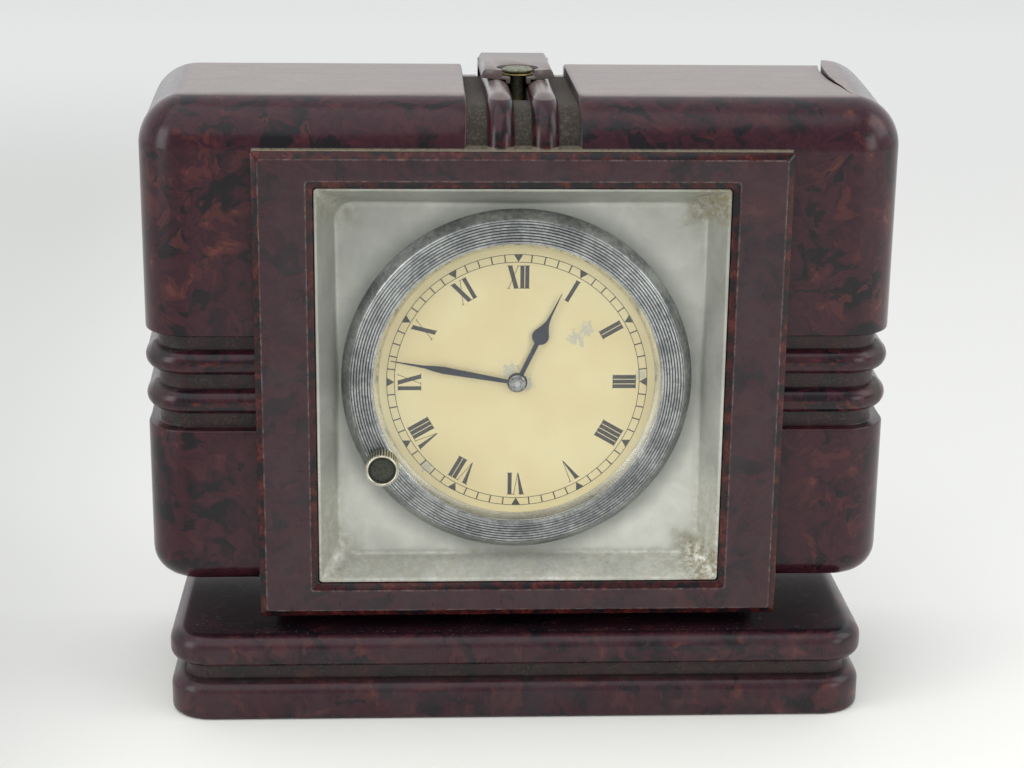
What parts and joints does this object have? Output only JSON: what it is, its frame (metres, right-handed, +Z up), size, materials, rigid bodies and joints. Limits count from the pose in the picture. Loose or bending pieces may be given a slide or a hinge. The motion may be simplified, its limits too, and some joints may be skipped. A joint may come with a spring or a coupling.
{
  "type": "table clock",
  "caption": "Table clock: a dashboard-type wind-up clock in a mottled moulded case with reeded sides, a square window and a stepped plinth. The back cover pulls off.",
  "frame": {"origin": "centre of the bounding box's bottom, on the table", "axes": "+X to the right of someone facing the dial, +Y back, away from them, +Z up"},
  "size_m": [0.169, 0.0644, 0.1404],
  "materials": {
    "case_plastic": "mottled dark maroon moulded thermoset, worn gloss",
    "tray_metal": "pale grey lacquered sheet, aged",
    "bezel_metal": "grooved ring, tarnished",
    "polished_metal": "polished",
    "glass": "clear flat glass",
    "dial_paint": "cream painted, aged",
    "movement_brass": "lacquered",
    "wheel_brass": "polished",
    "can_metal": "spun, dull",
    "steel": "turned and ground",
    "spring_steel": "hardened, blued",
    "blued_steel": "heat blued",
    "screw_metal": "plated brass, with green tarnish",
    "knob_metal": "pale plated brass, knurled"
  },
  "bodies": {
    "case": {"front_shell": "case_plastic", "plinth": "case_plastic", "plinth_screws": "steel", "tray": "tray_metal", "tray_screws": "screw_metal", "bezel": "bezel_metal", "glass": "glass", "reflector": "polished_metal", "dial": "dial_paint", "clock_can": "can_metal", "can_cap": "can_metal", "front_plate": "movement_brass", "back_plate": "movement_brass", "pillars": "movement_brass", "plate_screws": "blued_steel", "wheel_studs": "steel", "pallet_bridge": "movement_brass", "winding_bridge": "movement_brass", "spring_stud": "steel", "clamp_bridge": "steel", "clamp_studs": "steel", "clamp_nuts": "screw_metal", "cover_insert": "screw_metal", "hairspring": "spring_steel"},
    "minute_hand": {"minute_hand": "blued_steel", "hub_nut": "steel", "centre_arbor": "steel", "centre_wheel": "wheel_brass", "cannon_pinion": "steel"},
    "hour_hand": {"hour_hand": "blued_steel", "hour_wheel": "wheel_brass"},
    "minute_wheel": {"minute_wheel": "wheel_brass"},
    "setting_wheel_inner": {"setting_wheel_inner": "wheel_brass"},
    "setting_wheel_outer": {"setting_wheel_outer": "wheel_brass"},
    "barrel": {"barrel": "wheel_brass", "mainspring": "spring_steel"},
    "barrel_arbor": {"barrel_arbor": "steel", "ratchet_wheel": "wheel_brass"},
    "winding_wheel": {"winding_wheel": "wheel_brass"},
    "click": {"click": "steel"},
    "third_wheel": {"third_wheel": "wheel_brass"},
    "fourth_wheel": {"fourth_wheel": "wheel_brass"},
    "escape_wheel": {"escape_wheel": "wheel_brass"},
    "pallet_lever": {"pallet_lever": "steel"},
    "balance": {"balance_wheel": "wheel_brass"},
    "stem_yoke": {"stem_yoke": "steel"},
    "knob": {"knob": "knob_metal", "winding_stem": "steel"},
    "back_cover": {"back_cover": "case_plastic"},
    "screw_collar": {"screw_collar": "screw_metal"},
    "cover_screw": {"cover_screw": "screw_metal"}
  },
  "joints": [
    {"name": "minute_turn", "type": "hinge", "parent": "case", "child": "minute_hand", "pos_m": [-0.0006, -0.01975, 0.075], "axis": [0, 1, 0], "continuous": true},
    {"name": "hour_turn", "type": "hinge", "parent": "case", "child": "hour_hand", "pos_m": [-0.0006, -0.01975, 0.075], "axis": [0, 1, 0], "continuous": true},
    {"name": "minute_wheel_turn", "type": "hinge", "parent": "case", "child": "minute_wheel", "pos_m": [-0.00574, -0.01975, 0.07191], "axis": [0, 1, 0], "continuous": true},
    {"name": "setting_inner_turn", "type": "hinge", "parent": "case", "child": "setting_wheel_inner", "pos_m": [-0.01391, -0.01975, 0.06551], "axis": [0, 1, 0], "continuous": true},
    {"name": "setting_outer_turn", "type": "hinge", "parent": "case", "child": "setting_wheel_outer", "pos_m": [-0.02447, -0.01975, 0.06066], "axis": [0, 1, 0], "continuous": true},
    {"name": "barrel_turn", "type": "hinge", "parent": "case", "child": "barrel", "pos_m": [-0.01174, -0.01975, 0.0683], "axis": [0, 1, 0], "continuous": true},
    {"name": "third_turn", "type": "hinge", "parent": "case", "child": "third_wheel", "pos_m": [0.00248, -0.01975, 0.08346], "axis": [0, 1, 0], "continuous": true},
    {"name": "fourth_turn", "type": "hinge", "parent": "case", "child": "fourth_wheel", "pos_m": [0.00996, -0.01975, 0.08346], "axis": [0, 1, 0], "continuous": true},
    {"name": "escape_turn", "type": "hinge", "parent": "case", "child": "escape_wheel", "pos_m": [0.0111, -0.01975, 0.07696], "axis": [0, 1, 0], "continuous": true},
    {"name": "pallet_rock", "type": "hinge", "parent": "case", "child": "pallet_lever", "pos_m": [0.0137, -0.01975, 0.07246], "axis": [0, 1, 0], "range_deg": [-4, 4]},
    {"name": "balance_swing", "type": "hinge", "parent": "case", "child": "balance", "pos_m": [0.0167, -0.01975, 0.06726], "axis": [0, 1, 0], "range_deg": [-225, 225], "stiffness_Nm_per_rad": 0.000003},
    {"name": "knob_pull", "type": "slide", "parent": "case", "child": "stem_yoke", "axis": [0, -1, 0], "range_m": [0, 0.0014]},
    {"name": "knob_turn", "type": "hinge", "parent": "stem_yoke", "child": "knob", "pos_m": [-0.03026, -0.01975, 0.05718], "axis": [0, 1, 0], "continuous": true},
    {"name": "winding_turn", "type": "hinge", "parent": "case", "child": "winding_wheel", "pos_m": [-0.02374, -0.01975, 0.06109], "axis": [0, 1, 0], "continuous": true},
    {"name": "ratchet_turn", "type": "hinge", "parent": "case", "child": "barrel_arbor", "pos_m": [-0.01174, -0.01975, 0.0683], "axis": [0, 1, 0], "continuous": true},
    {"name": "click_lift", "type": "hinge", "parent": "case", "child": "click", "pos_m": [-0.00085, -0.01975, 0.06455], "axis": [0, -1, 0], "range_deg": [0, 12], "stiffness_Nm_per_rad": 0.0002, "springref_deg": -11.46},
    {"name": "cover_pull", "type": "slide", "parent": "case", "child": "back_cover", "axis": [0, 1, 0], "range_m": [0, 0.03]},
    {"name": "screw_lift", "type": "slide", "parent": "case", "child": "screw_collar", "axis": [0, 0, 1], "range_m": [0, 0.002]},
    {"name": "screw_turn", "type": "hinge", "parent": "screw_collar", "child": "cover_screw", "pos_m": [0, 0.00725, 0.138], "axis": [0, 0, 1], "range_deg": [0, 1440]}
  ],
  "couplings": [
    {"joint": "hour_turn", "follows": "minute_turn", "ratio": 0.083333},
    {"joint": "minute_wheel_turn", "follows": "minute_turn", "ratio": -0.33333},
    {"joint": "setting_inner_turn", "follows": "minute_turn", "ratio": 0.25532},
    {"joint": "setting_outer_turn", "follows": "minute_turn", "ratio": -0.26087},
    {"joint": "barrel_turn", "follows": "minute_turn", "ratio": -0.083333},
    {"joint": "third_turn", "follows": "minute_turn", "ratio": -8},
    {"joint": "fourth_turn", "follows": "minute_turn", "ratio": 60},
    {"joint": "escape_turn", "follows": "minute_turn", "ratio": -600},
    {"joint": "winding_turn", "follows": "knob_turn", "ratio": -0.26667},
    {"joint": "ratchet_turn", "follows": "knob_turn", "ratio": 0.2},
    {"joint": "screw_turn", "follows": "screw_lift", "rad_per_m": 12566}
  ]
}
